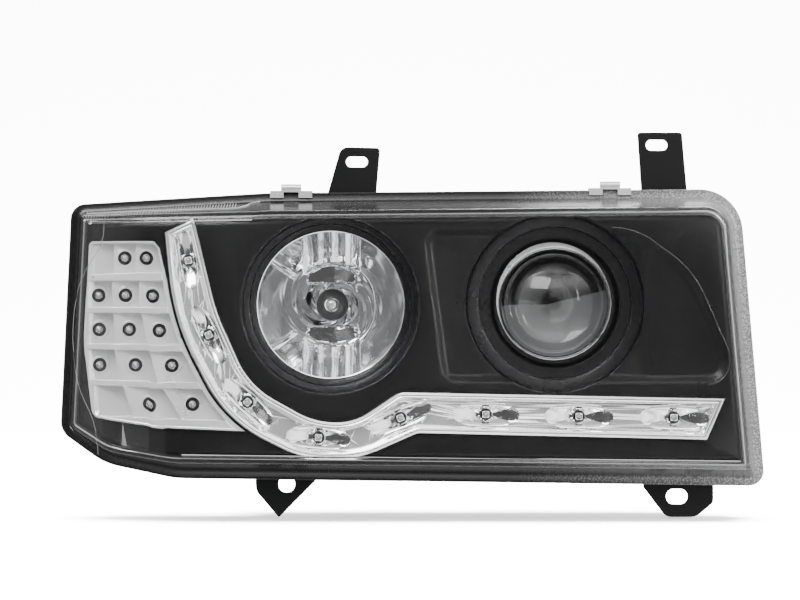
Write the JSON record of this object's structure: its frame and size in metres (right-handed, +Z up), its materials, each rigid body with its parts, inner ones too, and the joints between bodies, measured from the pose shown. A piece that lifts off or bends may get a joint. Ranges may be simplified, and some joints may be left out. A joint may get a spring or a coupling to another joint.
{
  "type": "car headlight assembly",
  "caption": "Left-hand car headlight: main-beam reflector, projector dipped beam, daytime light strip and turn signal behind a wrapped clear lens, with bracket tabs.",
  "frame": {"origin": "centre of the stud hole in the lower outer bracket tab, on the tab's rear face", "axes": "+X inboard along the lamp, +Y rearwards along the stud, +Z up; the lamp shines towards -Y"},
  "size_m": [0.4188, 0.15, 0.2302],
  "materials": {
    "casing_black": "moulded, fine grain",
    "clear_lens": "clear, polished, frosted at its rim",
    "seal_rubber": "matt",
    "bezel_black": "satin",
    "bright_plastic": "vacuum-metallised, mirror bright",
    "satin_bright_plastic": "vacuum-metallised, satin",
    "steel": "bright zinc",
    "board_green": "solder resist",
    "led_clear": "clear dome",
    "bracket_black": "semi-gloss black coat",
    "lead_black": "smooth",
    "pin_brass": "plain",
    "nylon": "natural nylon",
    "carrier_black": "moulded",
    "lamp_glass": "clear",
    "cast_aluminium": "die cast",
    "shield_steel": "dull"
  },
  "bodies": {
    "root": {"housing": "casing_black", "lens": "clear_lens", "lens_seal": "seal_rubber", "bezel": "bezel_black", "bezel_screws": "steel", "indicator_reflector": "satin_bright_plastic", "indicator_board": "board_green", "indicator_leds": "led_clear", "drl_reflector": "bright_plastic", "drl_board": "board_green", "drl_leds": "led_clear", "led_leads": "lead_black", "upper_outer_bracket": "bracket_black", "upper_inner_bracket": "bracket_black", "lower_outer_bracket": "bracket_black", "lower_inner_bracket": "bracket_black", "bracket_screws": "steel", "pivot_stud": "steel", "leveller_motor": "carrier_black", "leveller_seal": "seal_rubber", "connector_socket": "casing_black", "connector_pins": "pin_brass", "vent_caps": "seal_rubber"},
    "aim_gimbal": {"pivot_bush": "nylon"},
    "beam_carrier": {"carrier_frame": "carrier_black", "leveller_ball_socket": "nylon", "adjuster_ball_socket": "nylon", "main_reflector": "bright_plastic", "main_reflector_screws": "steel", "main_bulb_glass": "lamp_glass", "main_bulb_base": "steel", "main_bulb_terminal": "steel", "projector_lens": "lamp_glass", "projector_lens_ring": "steel", "projector_barrel": "cast_aluminium", "cutoff_shield": "shield_steel", "projector_reflector": "cast_aluminium", "projector_screws": "steel", "dip_bulb_glass": "lamp_glass", "dip_bulb_base": "steel", "dip_bulb_terminal": "steel"},
    "main_bulb_clip": {"main_bulb_clip": "steel"},
    "dip_bulb_clip": {"dip_bulb_clip": "steel"},
    "main_rear_cap": {"main_rear_cap": "seal_rubber"},
    "dip_rear_cap": {"dip_rear_cap": "seal_rubber"},
    "leveller_rod": {"leveller_rod": "steel"},
    "leveller_knob": {"leveller_knob": "carrier_black"},
    "adjuster_rod": {"adjuster_rod": "steel"},
    "adjuster_knob": {"adjuster_knob": "nylon"},
    "lens_clip_outer": {"lens_clip_outer": "steel"},
    "lens_clip_inner": {"lens_clip_inner": "steel"}
  },
  "joints": [
    {"name": "aim_horizontal", "type": "hinge", "parent": "root", "child": "aim_gimbal", "pos_m": [0.093, 0.014, 0.048], "axis": [0, 0, 1], "range_deg": [-2, 2]},
    {"name": "aim_vertical", "type": "hinge", "parent": "aim_gimbal", "child": "beam_carrier", "pos_m": [0.093, 0.014, 0.048], "axis": [1, 0, 0], "range_deg": [-2, 2]},
    {"name": "leveller_rod_slide", "type": "slide", "parent": "root", "child": "leveller_rod", "axis": [0, 1, 0], "range_m": [-0.0034, 0.0034]},
    {"name": "leveller_knob_turn", "type": "hinge", "parent": "root", "child": "leveller_knob", "pos_m": [0.093, 0.087, 0.142], "axis": [0, 1, 0], "range_deg": [-800, 800]},
    {"name": "adjuster_rod_slide", "type": "slide", "parent": "root", "child": "adjuster_rod", "axis": [0, 1, 0], "range_m": [-0.0043, 0.0043]},
    {"name": "adjuster_knob_turn", "type": "hinge", "parent": "root", "child": "adjuster_knob", "pos_m": [0.212, 0.065, 0.048], "axis": [0, 1, 0], "range_deg": [-1010, 1010]},
    {"name": "main_bulb_clip_swing", "type": "hinge", "parent": "beam_carrier", "child": "main_bulb_clip", "pos_m": [0.027, 0.0316, 0.1235], "axis": [1, 0, 0], "range_deg": [0, 70]},
    {"name": "dip_bulb_clip_swing", "type": "hinge", "parent": "beam_carrier", "child": "dip_bulb_clip", "pos_m": [0.159, 0.0426, 0.1245], "axis": [1, 0, 0], "range_deg": [0, 70]},
    {"name": "main_cap_pull", "type": "slide", "parent": "root", "child": "main_rear_cap", "axis": [0, 1, 0], "range_m": [0, 0.04]},
    {"name": "dip_cap_pull", "type": "slide", "parent": "root", "child": "dip_rear_cap", "axis": [0, 1, 0], "range_m": [0, 0.04]},
    {"name": "lens_clip_outer_swing", "type": "hinge", "parent": "root", "child": "lens_clip_outer", "pos_m": [0.003, -0.003, 0.1716], "axis": [-1, 0, 0], "range_deg": [0, 60]},
    {"name": "lens_clip_inner_swing", "type": "hinge", "parent": "root", "child": "lens_clip_inner", "pos_m": [0.193, -0.003, 0.1733], "axis": [-1, 0, 0], "range_deg": [0, 60]}
  ],
  "couplings": [
    {"joint": "leveller_rod_slide", "follows": "aim_vertical", "m_per_rad": -0.094},
    {"joint": "leveller_knob_turn", "follows": "aim_vertical", "ratio": -393.75},
    {"joint": "adjuster_rod_slide", "follows": "aim_horizontal", "m_per_rad": 0.119},
    {"joint": "adjuster_knob_turn", "follows": "aim_horizontal", "ratio": 498.47}
  ]
}
